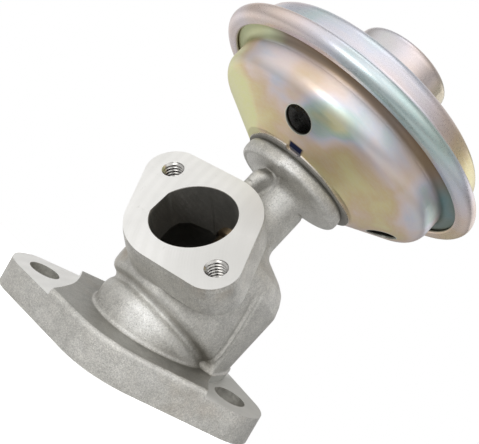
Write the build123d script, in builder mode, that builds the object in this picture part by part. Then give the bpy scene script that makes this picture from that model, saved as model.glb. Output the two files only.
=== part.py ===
from build123d import *
import os
from math import cos, sin, tan, radians, sqrt

# Vacuum-operated exhaust-gas-recirculation valve, millimetres.
# Frame: origin at the midpoint between the two bolt holes of the mounting flange, on its
# machined face; +Z runs parallel to the valve stem, towards the vacuum actuator.

# ------------------------------------------------------------------ driving dimensions
AY = 2.75                   # the stem axis stands at x = 0, y = AY
FL_TILT = 22.5              # mounting flange leans back from the stem axis
FL_CLOCK = 23.0             # its bolt line is turned about its own normal
FL_SPACING = 62.0           # bolt hole to bolt hole
FL_HOLE_R = 4.5             # clearance for M8
FL_END_R = 9.7              # radius of the flange ends
FL_MID_R = 25.4             # radius of the flange round the gas port
FL_T_END = 8.0              # thickness at the spot-faced ends
FL_T_MID = 10.0             # thickness of the as-cast middle

OUT_TILT = 22.0             # outlet face leans up from the vertical
OUT_Y, OUT_Z = -19.3, 39.25 # centre of the outlet face
OUT_R = 18.8                # outlet flange round its port
OUT_EAR = (19.05, -8.0)     # tapped hole on the face; the other is opposite
OUT_EARS = ((18.1, -8.5, 7.9), (-19.05, 8.0, 8.2))      # the two ears round them: x, y, radius
OUT_PORT_R = 11.8
OUT_PORT_FLAT, OUT_PORT_FLAT_AZ = 11.25, -165.0     # slight flat on one side of the port
OUT_T = 9.3
TAP_R = 2.5                 # M6 thread right through the ears, minor radius
TAP_CSK_R = 3.15

DRUM_R = 18.9
BODY_R = 21.5               # outside of the gas chamber
BACK_R = 22.1               # thicker rear half of the chamber wall
CHAMBER_R = 16.3
SEAT_BORE_R = 14.0
NECK_R = 8.85
DISC_R, DISC_Z0, DISC_Z1 = 17.0, 64.3, 69.7
GUIDE_BORE_R = 6.0

STEM_R = 4.0
RUN = 0.05                  # running clearance on the stem
LIFT = 6.0                  # valve lift

SHEET = 1.2                 # actuator sheet metal
GASKET_T, SHIM_T = 0.4, 0.4
CUP_Z = DISC_Z1 + GASKET_T + SHIM_T     # underside of the lower cup
CUP_CORNER_R, CUP_CORNER_C, CUP_CORNER_Z = 4.8, 32.15, 82.4
CUP_LIP_Z = 89.35           # underside of the cup's clamping rim
BEAD_C, BEAD_Z, BEAD_R = 42.6, 90.85, 2.7
BOSS_R, BOSS_TOP = 15.3, 117.25
VENT_R, VENT_AT, VENT_AZ = 4.35, 28.1, (-75.5, 38.5, 161.5)
SCREW_R, SCREW_AZ = 11.4, -45.0     # three screws hold the cup on the round flange

NIP_AZ, NIP_Z = 122.0, 110.8    # vacuum nipple on the boss wall
SPRING_WIRE, SPRING_MEAN_R, SPRING_TURNS = 2.0, 11.6, 5.5

os.makedirs("parts", exist_ok=True)

# ------------------------------------------------------------------ planes and axes
STEM_AXIS = Axis((0, AY, 0), (0, 0, 1))
# half-section plane of everything turned about the stem axis: x is the radius, y is the height
SECTION = Plane(origin=(0, AY, 0), x_dir=(1, 0, 0), z_dir=(0, -1, 0))


def level(z):
    return Plane(origin=(0, AY, z), x_dir=(1, 0, 0), z_dir=(0, 0, 1))


ft, fc = radians(FL_TILT), radians(FL_CLOCK)
FLANGE = Plane(origin=(0, 0, 0), x_dir=(cos(fc), sin(fc) * cos(ft), sin(fc) * sin(ft)),
               z_dir=(0, -sin(ft), cos(ft)))
ot = radians(OUT_TILT)
OUTLET = Plane(origin=(0, OUT_Y, OUT_Z), x_dir=(1, 0, 0), z_dir=(0, -cos(ot), sin(ot)))
# where the stem axis meets the mounting face, on that face
fl_port = FLANGE.to_local_coords(Vector(0, AY, AY * tan(ft)))
FL_CX, FL_CY = fl_port.X, fl_port.Y
EAR = sqrt(OUT_EAR[0] ** 2 + OUT_EAR[1] ** 2)


def save(builder, name):
    builder.part.label = name
    export_step(builder.part, f"parts/{name}.step")


# ================================================================== 1. valve housing
# Aluminium casting: tilted two-bolt mounting flange, drum with the seat bore, gas chamber,
# outlet flange with its duct, neck with the guide bore, and round flange for the actuator.
with BuildPart() as valve_housing:
    with BuildSketch(SECTION):
        with BuildLine():
            Polyline((0, -16), (17.4, -16), (17.4, 5.0), (18.5, 9.0), (DRUM_R, 11.5), (18.5, 13.6),
                     (17.7, 15.0), (18.6, 16.0), (20.5, 16.8), (21.2, 18.2), (BODY_R, 20.5), (BODY_R, 36.2),
                     (20.9, 39.2), (19.4, 41.7), (17.1, 43.4), (12.3, 45.7), (9.6, 47.3), (NECK_R, 49.5),
                     (NECK_R, 60.4))
            n1 = ThreePointArc((NECK_R, 60.4), (9.4, 62.4), (11.6, DISC_Z0))
            n2 = Line(n1 @ 1, (DISC_R - 2.5, DISC_Z0))
            n3 = ThreePointArc(n2 @ 1, (DISC_R, (DISC_Z0 + DISC_Z1) / 2), (DISC_R - 2.5, DISC_Z1))
            Polyline(n3 @ 1, (0, DISC_Z1), (0, -16))
        make_face()
    revolve(axis=STEM_AXIS)
    # rear half of the wall runs straight down to the flange, past the drum's groove
    with BuildSketch(level(-16)):
        Circle(BACK_R)
        with BuildLine():
            a0, a1 = radians(-13), radians(158)
            Polyline((0, 0), (40 * cos(a0), 40 * sin(a0)), (40 * cos(radians(35)), 40 * sin(radians(35))),
                     (40 * cos(radians(110)), 40 * sin(radians(110))), (40 * cos(a1), 40 * sin(a1)), close=True)
        make_face(mode=Mode.INTERSECT)
    extrude(amount=16 + 35.0)
    # outlet flange, its two ears and the duct behind it
    with BuildSketch(OUTLET):
        Circle(OUT_R)
        for ex, ey, er in OUT_EARS:
            with Locations((ex, ey)):
                Circle(er)
        make_hull()
    extrude(amount=-OUT_T)
    with BuildSketch(OUTLET.offset(-OUT_T + 1)):
        Circle(16.6)
    extrude(amount=-17)
    # gusset between the outlet flange, the neck and the round flange
    with BuildSketch(Plane.YZ.offset(-4.4)):
        with BuildLine():
            Polyline((AY, 44.5), (-9.0, 50.0), (-12.0, 55.6), (-11.9, 57.4), (-10.0, 61.6), (-9.2, 65.0), (AY, 65.0), close=True)
        make_face()
    extrude(amount=6.0)
    # mounting flange, with its thicker middle
    with BuildSketch(FLANGE):
        with Locations((FL_CX, FL_CY)):
            Circle(FL_MID_R)
        with Locations((-FL_SPACING / 2, 0), (FL_SPACING / 2, 0)):
            Circle(FL_END_R)
        make_hull()
    extrude(amount=FL_T_END)
    with BuildSketch(FLANGE.offset(FL_T_END)):
        with Locations((FL_CX, FL_CY)):
            Circle(FL_MID_R)
        with Locations((-FL_SPACING / 2, 0), (FL_SPACING / 2, 0)):
            Circle(FL_END_R)
        make_hull()
        with BuildLine():
            ThreePointArc((-23.8, -34.0), (-22.5, -2.0), (-31.0, 30.0))
            Line((-31.0, 30.0), (12.5, 34.0))
            Line((12.5, 34.0), (37.0, -34.0))
            Line((37.0, -34.0), (-23.8, -34.0))
        make_face(mode=Mode.INTERSECT)
    extrude(amount=FL_T_MID - FL_T_END)
    # rounded near edge of the raised middle
    near = [e for e in valve_housing.edges() if abs(FLANGE.to_local_coords(Vector(*(e @ 0.5))).Z - FL_T_MID) < 0.02
            and abs(FLANGE.to_local_coords(Vector(*(e @ 0.05))).Z - FL_T_MID) < 0.02
            and FLANGE.to_local_coords(Vector(*(e @ 0.5))).Y < -15]
    fillet(near, 1.8)
    # the mounting face is machined flat
    with BuildSketch(FLANGE):
        with Locations((0, 0)):
            Rectangle(160, 160)
    extrude(amount=-60, mode=Mode.SUBTRACT)
    # outlet face machined flat
    with BuildSketch(OUTLET):
        with Locations((0, -8)):
            Rectangle(70, 60)
    extrude(amount=12, mode=Mode.SUBTRACT)
    # seat bore, chamber and guide bore
    with BuildSketch(SECTION):
        with BuildLine():
            Polyline((0, -20), (SEAT_BORE_R, -20), (SEAT_BORE_R, 13.0), (12.6, 13.0), (12.6, 14.2), (15.6, 18.0),
                     (CHAMBER_R, 20.5), (CHAMBER_R, 34.0), (15.4, 37.2), (13.0, 39.8), (8.0, 42.0), (GUIDE_BORE_R, 42.2),
                     (GUIDE_BORE_R, 66.0), (7.0, 66.0), (7.0, 75.0), (0, 75.0), close=True)
        make_face()
    revolve(axis=STEM_AXIS, mode=Mode.SUBTRACT)
    # outlet port, round with one flat
    with BuildSketch(OUTLET.offset(1)):
        Circle(OUT_PORT_R)
        with Locations(Location((0, 0), OUT_PORT_FLAT_AZ)):
            with Locations((OUT_PORT_FLAT - OUT_PORT_R, 0)):
                Rectangle(2 * OUT_PORT_R, 2 * OUT_PORT_R + 2, mode=Mode.INTERSECT)
    extrude(amount=-20.5, mode=Mode.SUBTRACT)
    # tapped holes in the ears
    with Locations(OUTLET):
        with Locations(OUT_EAR, (-OUT_EAR[0], -OUT_EAR[1])):
            CounterSinkHole(TAP_R, TAP_CSK_R, depth=OUT_T + 1.0, counter_sink_angle=90)
    # bolt holes
    with BuildSketch(FLANGE):
        with Locations((-FL_SPACING / 2, 0), (FL_SPACING / 2, 0)):
            Circle(FL_HOLE_R)
    extrude(amount=14, mode=Mode.SUBTRACT)
    # tapped holes for the actuator screws
    with BuildSketch(level(DISC_Z1)):
        with PolarLocations(SCREW_R, 3, start_angle=SCREW_AZ):
            Circle(1.65)
    extrude(amount=-4.4, mode=Mode.SUBTRACT)
save(valve_housing, "valve_housing")

# ================================================================== 2. valve seat
SEAT_Z0, SEAT_Z1, SEAT_IN = 8.0, 13.0, 9.0
with BuildPart() as valve_seat:
    with BuildSketch(SECTION):
        with BuildLine():
            Polyline((SEAT_IN, SEAT_Z0 + 0.6), (SEAT_IN + 0.6, SEAT_Z0), (SEAT_BORE_R - 0.5, SEAT_Z0),
                     (SEAT_BORE_R, SEAT_Z0 + 0.5), (SEAT_BORE_R, SEAT_Z1), (SEAT_IN + 1.2, SEAT_Z1),
                     (SEAT_IN, SEAT_Z1 - 1.2), close=True)
        make_face()
    revolve(axis=STEM_AXIS)
save(valve_seat, "valve_seat")

# ================================================================== 3. guide bush
with BuildPart() as guide_bush:
    with BuildSketch(SECTION):
        with BuildLine():
            Polyline((STEM_R + RUN, 38.5), (4.7, 38.2), (5.0, 38.7), (5.0, 42.6), (GUIDE_BORE_R - 0.4, 43.0),
                     (GUIDE_BORE_R, 43.6), (GUIDE_BORE_R, 59.6), (GUIDE_BORE_R - 0.4, 60.0), (STEM_R + 0.5, 60.0),
                     (STEM_R + RUN, 59.5), close=True)
        make_face()
    revolve(axis=STEM_AXIS)
save(guide_bush, "guide_bush")

# ================================================================== 4. stem seal (graphite packing ring)
with BuildPart() as stem_seal:
    with BuildSketch(SECTION):
        with BuildLine():
            Polyline((STEM_R + RUN, 60.4), (STEM_R + 0.5, 60.0), (GUIDE_BORE_R, 60.0), (GUIDE_BORE_R, 64.9),
                     (STEM_R + 0.4, 64.9), (STEM_R + RUN, 64.5), close=True)
        make_face()
    revolve(axis=STEM_AXIS)
save(stem_seal, "stem_seal")

# ================================================================== 5. seal retainer
with BuildPart() as seal_retainer:
    with BuildSketch(SECTION):
        with BuildLine():
            Polyline((4.5, 64.9), (GUIDE_BORE_R, 64.9), (GUIDE_BORE_R, 67.4), (5.1, 67.4), (5.1, 65.8), (4.5, 65.8), close=True)
        make_face()
    revolve(axis=STEM_AXIS)
save(seal_retainer, "seal_retainer")

# ================================================================== 6, 7. gasket and shim plate under the actuator
# two thin sheets of one outline, a little larger than the round flange, with a drain notch
for name, z0, grow in (("actuator_gasket", DISC_Z1, 0.0), ("shim_plate", DISC_Z1 + GASKET_T, 0.25)):
    with BuildPart() as sheet:
        with BuildSketch(level(z0)):
            with PolarLocations(3.6, 3, start_angle=-72):
                Circle(15.4 + grow)
            make_hull()
            Circle(7.2, mode=Mode.SUBTRACT)
            with PolarLocations(SCREW_R, 3, start_angle=SCREW_AZ):
                Circle(2.2, mode=Mode.SUBTRACT)
            with PolarLocations(18.7, 1, start_angle=-72):
                Rectangle(3.0, 5.0, mode=Mode.SUBTRACT)
        extrude(amount=GASKET_T if name == "actuator_gasket" else SHIM_T)
    save(sheet, name)

# ================================================================== 8. lower cup
# pressed steel: flat bottom, shallow cone with vent holes, round shoulder, short wall, clamping rim
wall_r = CUP_CORNER_C + CUP_CORNER_R
with BuildPart() as lower_cup:
    with BuildSketch(SECTION):
        with BuildLine():
            # outside, from the centre hole to the rim
            l1 = Line((7.0, CUP_Z), (19.6, CUP_Z))
            cone = radians(28.5)
            c_pt = (CUP_CORNER_C + CUP_CORNER_R * sin(cone), CUP_CORNER_Z - CUP_CORNER_R * cos(cone))
            l2 = Line(l1 @ 1, c_pt)
            l3 = ThreePointArc(l2 @ 1, (CUP_CORNER_C + CUP_CORNER_R * cos(radians(-32)), CUP_CORNER_Z + CUP_CORNER_R * sin(radians(-32))),
                               (wall_r, CUP_CORNER_Z))
            l4 = Line(l3 @ 1, (wall_r, CUP_LIP_Z - 2.6))
            l5 = RadiusArc(l4 @ 1, (wall_r + 2.6, CUP_LIP_Z), 2.6)
            l6 = Polyline(l5 @ 1, (42.5, CUP_LIP_Z), (43.2, CUP_LIP_Z + 0.4))
            # inside, back to the centre hole
            l7 = Line(l6 @ 1, (43.2, CUP_LIP_Z + SHEET))
            l8 = Line(l7 @ 1, (wall_r + 2.4, CUP_LIP_Z + SHEET))
            l9 = RadiusArc(l8 @ 1, (wall_r - SHEET, CUP_LIP_Z - 2.4), -3.6)
            l10 = Line(l9 @ 1, (wall_r - SHEET, CUP_CORNER_Z))
            l11 = ThreePointArc(l10 @ 1, (CUP_CORNER_C + (CUP_CORNER_R - SHEET) * cos(radians(-32)), CUP_CORNER_Z + (CUP_CORNER_R - SHEET) * sin(radians(-32))),
                                (CUP_CORNER_C + (CUP_CORNER_R - SHEET) * sin(cone), CUP_CORNER_Z - (CUP_CORNER_R - SHEET) * cos(cone)))
            l12 = Line(l11 @ 1, (19.6 - SHEET * tan(cone / 2), CUP_Z + SHEET))
            l13 = Line(l12 @ 1, (7.0, CUP_Z + SHEET))
            l14 = Line(l13 @ 1, (7.0, CUP_Z))
        make_face()
    revolve(axis=STEM_AXIS)
    with BuildSketch(level(CUP_Z)):
        with PolarLocations(SCREW_R, 3, start_angle=SCREW_AZ):
            Circle(2.2)
    extrude(amount=3, mode=Mode.SUBTRACT)
    # vent holes, square to the cone
    for az in VENT_AZ:
        a = radians(az)
        vent = Plane(origin=(VENT_AT * cos(a), AY + VENT_AT * sin(a), CUP_Z + (VENT_AT - 19.6) * tan(cone)),
                     x_dir=(-sin(a), cos(a), 0), z_dir=(sin(cone) * cos(a), sin(cone) * sin(a), -cos(cone)))
        with BuildSketch(vent.offset(2)):
            Circle(VENT_R)
        extrude(amount=-5, mode=Mode.SUBTRACT)
save(lower_cup, "lower_cup")

# ================================================================== 9. clamp ring inside the cup
RING_Z = CUP_Z + SHEET
with BuildPart() as clamp_ring:
    with BuildSketch(level(RING_Z)):
        Circle(16.0)
        Circle(7.2, mode=Mode.SUBTRACT)
        with PolarLocations(SCREW_R, 3, start_angle=SCREW_AZ):
            Circle(2.2, mode=Mode.SUBTRACT)
    extrude(amount=1.5)
    chamfer(clamp_ring.edges().filter_by(GeomType.CIRCLE).group_by(Axis.Z)[-1].sort_by(SortBy.RADIUS)[-1], 0.4)
save(clamp_ring, "clamp_ring")

# ================================================================== 10, 11. lock washers and screws
LW_Z = RING_Z + 1.5
with BuildPart() as screw_lock_washers:
    with BuildSketch(level(LW_Z)):
        with PolarLocations(SCREW_R, 3, start_angle=SCREW_AZ):
            Circle(3.5)
            Circle(2.1, mode=Mode.SUBTRACT)
            with Locations((2.8, 0)):
                Rectangle(1.8, 0.7, mode=Mode.SUBTRACT)
    extrude(amount=0.9)
save(screw_lock_washers, "screw_lock_washers")

SC_Z = LW_Z + 0.9
with BuildPart() as cup_screws:
    with BuildSketch(level(SC_Z)):
        with PolarLocations(SCREW_R, 3, start_angle=SCREW_AZ):
            Circle(3.5)
    extrude(amount=2.3)
    fillet(cup_screws.edges().filter_by(GeomType.CIRCLE).group_by(Axis.Z)[-1], 0.7)
    with BuildSketch(level(SC_Z)):
        with PolarLocations(SCREW_R, 3, start_angle=SCREW_AZ):
            Circle(1.62)
    extrude(amount=-(SC_Z - DISC_Z1 + 4.0))
    with BuildSketch(level(SC_Z)):
        with PolarLocations(SCREW_R, 3, start_angle=SCREW_AZ):
            Circle(2.0)
    extrude(amount=-(SC_Z - DISC_Z1 - 0.1))
    # cross recess
    with BuildSketch(level(SC_Z + 2.4)):
        with PolarLocations(SCREW_R, 3, start_angle=SCREW_AZ):
            Rectangle(3.6, 0.9)
            Rectangle(0.9, 3.6)
    extrude(amount=-1.5, mode=Mode.SUBTRACT)
save(cup_screws, "cup_screws")

# ================================================================== 12. back cover
# pressed steel dome with a spring boss; its edge is rolled round the cup rim and the diaphragm
with BuildPart() as back_cover:
    t = SHEET
    with BuildSketch(SECTION):
        with BuildLine():
            # outside
            o1 = Line((0, BOSS_TOP), (BOSS_R - 3.0, BOSS_TOP))
            o2 = RadiusArc(o1 @ 1, (BOSS_R, BOSS_TOP - 3.0), 3.0)
            o3 = Line(o2 @ 1, (BOSS_R, 107.6))
            o4 = RadiusArc(o3 @ 1, (BOSS_R + 2.2, 105.4), -2.2)
            o5 = ThreePointArc(o4 @ 1, (28.0, 103.7), (35.6, 101.75))
            o6 = ThreePointArc(o5 @ 1, (38.1, 100.4), (39.4, 98.2))
            o7 = Line(o6 @ 1, (40.75, 95.0))
            o8 = ThreePointArc(o7 @ 1, (41.25, 93.95), (BEAD_C, BEAD_Z + BEAD_R))
            o9 = ThreePointArc(o8 @ 1, (BEAD_C + BEAD_R, BEAD_Z), (BEAD_C, BEAD_Z - BEAD_R))
            # rolled edge under the cup's rim
            ir = BEAD_R - t
            o10 = Line(o9 @ 1, (41.4, BEAD_Z - BEAD_R))
            i1 = ThreePointArc(o10 @ 1, (40.8, BEAD_Z - BEAD_R + t / 2), (41.4, BEAD_Z - ir))
            i2 = Line(i1 @ 1, (BEAD_C, BEAD_Z - ir))
            i3 = ThreePointArc(i2 @ 1, (BEAD_C + ir, BEAD_Z), (BEAD_C, BEAD_Z + ir))
            i4 = Line(i3 @ 1, (40.3, BEAD_Z + ir))
            i5 = Line(i4 @ 1, (39.55, 95.0))
            i6 = Line(i5 @ 1, (38.25, 97.95))
            i7 = ThreePointArc(i6 @ 1, (37.2, 99.6), (35.2, 100.6))
            i8 = ThreePointArc(i7 @ 1, (28.0, 102.5), (17.4, 104.2))
            i9 = RadiusArc(i8 @ 1, (BOSS_R - t, 107.5), 3.35)
            i10 = Line(i9 @ 1, (BOSS_R - t, BOSS_TOP - 3.0))
            i11 = RadiusArc(i10 @ 1, (BOSS_R - 3.0, BOSS_TOP - t), -1.8)
            i12 = Line(i11 @ 1, (0, BOSS_TOP - t))
            i13 = Line(i12 @ 1, (0, BOSS_TOP))
        make_face()
    revolve(axis=STEM_AXIS)
    # hole for the nipple in the boss wall
    na = radians(NIP_AZ)
    NIP = Plane(origin=(0, AY, NIP_Z), x_dir=(0, 0, 1), z_dir=(cos(na), sin(na), 0))
    with BuildSketch(NIP.offset(8)):
        Circle(2.5)
    extrude(amount=10, mode=Mode.SUBTRACT)
save(back_cover, "back_cover")

# ================================================================== 13. vacuum nipple
with BuildPart() as vacuum_nipple:
    with BuildSketch(Plane(origin=(0, AY, NIP_Z), x_dir=(cos(na), sin(na), 0), z_dir=(sin(na), -cos(na), 0))):
        with BuildLine():
            # local x runs out along the nipple, local y is its radius
            Polyline((12.9, 1.5), (12.9, 2.5), (15.5, 2.5), (15.9, 4.2), (17.0, 4.2), (17.4, 2.5), (31.0, 2.5),
                     (31.6, 3.0), (33.0, 3.0), (34.6, 2.2), (34.6, 1.5), close=True)
        make_face()
    revolve(axis=Axis((0, AY, NIP_Z), (cos(na), sin(na), 0)))
save(vacuum_nipple, "vacuum_nipple")

# ================================================================== 14. spring seat in the boss
SPRING_TOP = BOSS_TOP - SHEET - 1.0
with BuildPart() as spring_seat:
    with BuildSketch(SECTION):
        with BuildLine():
            Polyline((7.0, SPRING_TOP - 2.6), (8.0, SPRING_TOP - 2.6), (8.9, SPRING_TOP), (12.2, SPRING_TOP),
                     (12.2, SPRING_TOP + 1.0), (8.2, SPRING_TOP + 1.0), (7.0, SPRING_TOP - 2.2), close=True)
        make_face()
    revolve(axis=STEM_AXIS)
save(spring_seat, "spring_seat")

# ================================================================== moving stem assembly
# 15. poppet head: rests on the seat, lifts into the chamber
with BuildPart() as valve_head:
    with BuildSketch(SECTION):
        with BuildLine():
            Polyline((3.05, 11.2), (8.3, 11.2), (8.8, 11.7), (10.6, 13.5), (11.0, 14.1), (11.0, 15.2), (10.4, 15.8),
                     (6.2, 17.0), (5.2, 18.0), (3.05, 18.0), close=True)
        make_face()
    revolve(axis=STEM_AXIS)
save(valve_head, "valve_head")

# 16. stem: riveted in the head below, threaded M6 above
PL_Z = 80.0                  # seat of the diaphragm on the lower plate
with BuildPart() as valve_stem:
    with BuildSketch(SECTION):
        with BuildLine():
            Polyline((0, 10.0), (2.6, 10.0), (3.8, 10.8), (3.8, 11.2), (3.0, 11.2), (3.0, 18.0), (3.6, 18.0), (STEM_R, 18.5),
                     (STEM_R, 76.6), (STEM_R - 0.4, 77.0), (2.95, 77.0), (2.95, 90.4), (2.4, 91.0), (0, 91.0), close=True)
        make_face()
    revolve(axis=STEM_AXIS)
save(valve_stem, "valve_stem")

# 17. stem washer under the lower plate
with BuildPart() as stem_washer:
    with BuildSketch(level(77.0)):
        Circle(6.5)
        Circle(3.05, mode=Mode.SUBTRACT)
    extrude(amount=1.5)
    chamfer(stem_washer.edges().filter_by(GeomType.CIRCLE).sort_by(SortBy.RADIUS)[-2:], 0.3)
save(stem_washer, "stem_washer")

# 18. lower diaphragm plate
with BuildPart() as lower_plate:
    with BuildSketch(SECTION):
        with BuildLine():
            Polyline((3.05, 78.5), (23.2, 78.5), (25.2, 79.3), (26.2, 80.6), (25.4, 81.2), (24.4, 80.0), (3.05, 80.0), close=True)
        make_face()
    revolve(axis=STEM_AXIS)
save(lower_plate, "lower_plate")

# 19. upper diaphragm plate, a shallow piston dish that centres the spring
with BuildPart() as upper_plate:
    with BuildSketch(SECTION):
        with BuildLine():
            Polyline((3.05, 81.3), (23.0, 81.3), (24.6, 82.4), (25.2, 86.5), (24.0, 86.5), (23.5, 83.2), (22.4, 82.5),
                     (9.6, 82.5), (9.2, 84.6), (8.2, 84.6), (8.2, 82.5), (3.05, 82.5), close=True)
        make_face()
    revolve(axis=STEM_AXIS)
save(upper_plate, "upper_plate")

# 20. spring washer under the nut
with BuildPart() as nut_lock_washer:
    with BuildSketch(level(82.5)):
        Circle(5.2)
        Circle(3.05, mode=Mode.SUBTRACT)
        with Locations((4.2, 0)):
            Rectangle(2.4, 0.8, mode=Mode.SUBTRACT)
    extrude(amount=1.2)
save(nut_lock_washer, "nut_lock_washer")

# 21. M6 nut on the stem
with BuildPart() as stem_nut:
    with BuildSketch(level(83.7)):
        RegularPolygon(5.0, 6, major_radius=False)
        Circle(3.0, mode=Mode.SUBTRACT)
    extrude(amount=5.0)
    # rounded corners of the hexagon
    with BuildSketch(SECTION):
        with BuildLine():
            Polyline((0, 83.7), (5.2, 83.7), (5.78, 84.1), (5.78, 88.3), (5.2, 88.7), (0, 88.7), close=True)
        make_face()
    revolve(axis=STEM_AXIS, mode=Mode.INTERSECT)
save(stem_nut, "stem_nut")

# ================================================================== 22. diaphragm
with BuildPart() as diaphragm:
    with BuildSketch(SECTION):
        with BuildLine():
            d1 = Line((3.05, 80.0), (24.0, 80.0))
            d2 = Line(d1 @ 1, (25.5, 81.8))
            d3 = ThreePointArc(d2 @ 1, (31.6, 82.6), (35.0, 87.8))
            d4 = ThreePointArc(d3 @ 1, (36.0, 89.9), (38.2, CUP_LIP_Z + SHEET))
            d5 = Line(d4 @ 1, (43.2, CUP_LIP_Z + SHEET))
            d6 = Polyline(d5 @ 1, (43.2, 91.6), (BEAD_C, BEAD_Z + BEAD_R - SHEET))
            d7 = Line(d6 @ 1, (38.0, BEAD_Z + BEAD_R - SHEET))
            d8 = ThreePointArc(d7 @ 1, (35.1, 90.9), (33.7, 88.2))
            d9 = ThreePointArc(d8 @ 1, (30.7, 83.9), (25.4, 83.2))
            d10 = Line(d9 @ 1, (24.7, 82.3))
            d11 = Line(d10 @ 1, (23.1, 81.3))
            d12 = Line(d11 @ 1, (3.05, 81.3))
            d13 = Line(d12 @ 1, (3.05, 80.0))
        make_face()
    revolve(axis=STEM_AXIS)
save(diaphragm, "diaphragm")

# ================================================================== 23. return spring
SPRING_Z0 = 82.5
with BuildPart() as return_spring:
    wire = SPRING_WIRE / 2
    rise = SPRING_TOP - SPRING_Z0 - SPRING_WIRE - 0.04
    with BuildLine() as coil:
        Helix(pitch=rise / SPRING_TURNS, height=rise, radius=SPRING_MEAN_R, center=(0, AY, SPRING_Z0 + wire + 0.02))
    with BuildSketch(Plane(origin=coil.line @ 0, z_dir=coil.line % 0)):
        Circle(wire)
    sweep(path=coil.line, is_frenet=True)
save(return_spring, "return_spring")
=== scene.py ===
import math
import bpy
import bmesh
import numpy as np
from mathutils import Matrix, Vector


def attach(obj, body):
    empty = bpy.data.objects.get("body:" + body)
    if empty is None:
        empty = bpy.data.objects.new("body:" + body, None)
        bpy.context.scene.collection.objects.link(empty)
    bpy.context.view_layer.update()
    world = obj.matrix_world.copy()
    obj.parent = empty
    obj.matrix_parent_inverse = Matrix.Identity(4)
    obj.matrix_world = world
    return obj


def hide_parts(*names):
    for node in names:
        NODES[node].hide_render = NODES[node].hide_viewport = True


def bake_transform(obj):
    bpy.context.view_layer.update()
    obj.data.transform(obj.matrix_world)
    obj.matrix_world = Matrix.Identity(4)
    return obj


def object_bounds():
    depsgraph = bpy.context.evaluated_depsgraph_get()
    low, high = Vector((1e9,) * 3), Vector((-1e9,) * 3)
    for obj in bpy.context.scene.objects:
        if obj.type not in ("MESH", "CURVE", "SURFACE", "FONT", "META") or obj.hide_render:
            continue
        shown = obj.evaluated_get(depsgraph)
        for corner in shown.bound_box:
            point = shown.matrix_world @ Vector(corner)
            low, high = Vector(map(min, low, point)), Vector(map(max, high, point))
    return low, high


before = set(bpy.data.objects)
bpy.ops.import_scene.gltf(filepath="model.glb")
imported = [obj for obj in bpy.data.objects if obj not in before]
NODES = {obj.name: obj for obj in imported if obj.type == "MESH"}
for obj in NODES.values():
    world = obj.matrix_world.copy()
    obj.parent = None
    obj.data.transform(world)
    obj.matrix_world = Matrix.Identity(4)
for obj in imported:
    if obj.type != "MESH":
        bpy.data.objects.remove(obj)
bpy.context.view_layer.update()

MM = 0.001

# ------------------------------------------------------------------ dimensions, millimetres
AY = 2.75
ft, fc, ot = math.radians(22.5), math.radians(23.0), math.radians(22.0)


class Frame:
    """A local frame: origin, unit x, y, z, all in millimetres of the part's own frame."""

    def __init__(self, o, x, z):
        self.o = np.array(o, float)
        self.x = np.array(x, float)
        self.z = np.array(z, float)
        self.y = np.cross(self.z, self.x)

    def local(self, p):
        q = p - self.o
        return q @ self.x, q @ self.y, q @ self.z

    def world(self, u, v, w):
        u, v, w = np.broadcast_arrays(u, v, w)
        return self.o + u[..., None] * self.x + v[..., None] * self.y + w[..., None] * self.z

    def offset(self, d):
        return Frame(self.o + d * self.z, self.x, self.z)


FLANGE = Frame((0, 0, 0), (math.cos(fc), math.sin(fc) * math.cos(ft), math.sin(fc) * math.sin(ft)),
               (0, -math.sin(ft), math.cos(ft)))
OUTLET = Frame((0, -19.3, 39.25), (1, 0, 0), (0, -math.cos(ot), math.sin(ot)))
STEM = Frame((0, AY, 0), (1, 0, 0), (0, 0, 1))
_c = np.array([0, AY, AY * math.tan(ft)])
FL_CX, FL_CY = float(_c @ FLANGE.x), float(_c @ FLANGE.y)
EAR = (19.05, -8.0)


# ------------------------------------------------------------------ signed distances
def poly_sd(px, py, pts):
    d = np.full(px.shape, 1e9)
    inside = np.zeros(px.shape, bool)
    n = len(pts)
    for i in range(n):
        ax, ay = pts[i]
        bx, by = pts[(i + 1) % n]
        ex, ey = bx - ax, by - ay
        ll = ex * ex + ey * ey
        if ll < 1e-12:
            continue
        wx, wy = px - ax, py - ay
        t = np.clip((wx * ex + wy * ey) / ll, 0, 1)
        d = np.minimum(d, (wx - t * ex) ** 2 + (wy - t * ey) ** 2)
        if ay != by:
            inside ^= ((ay > py) != (by > py)) & (px < ex * (py - ay) / ey + ax)
    d = np.sqrt(d)
    return np.where(inside, -d, d)


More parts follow.
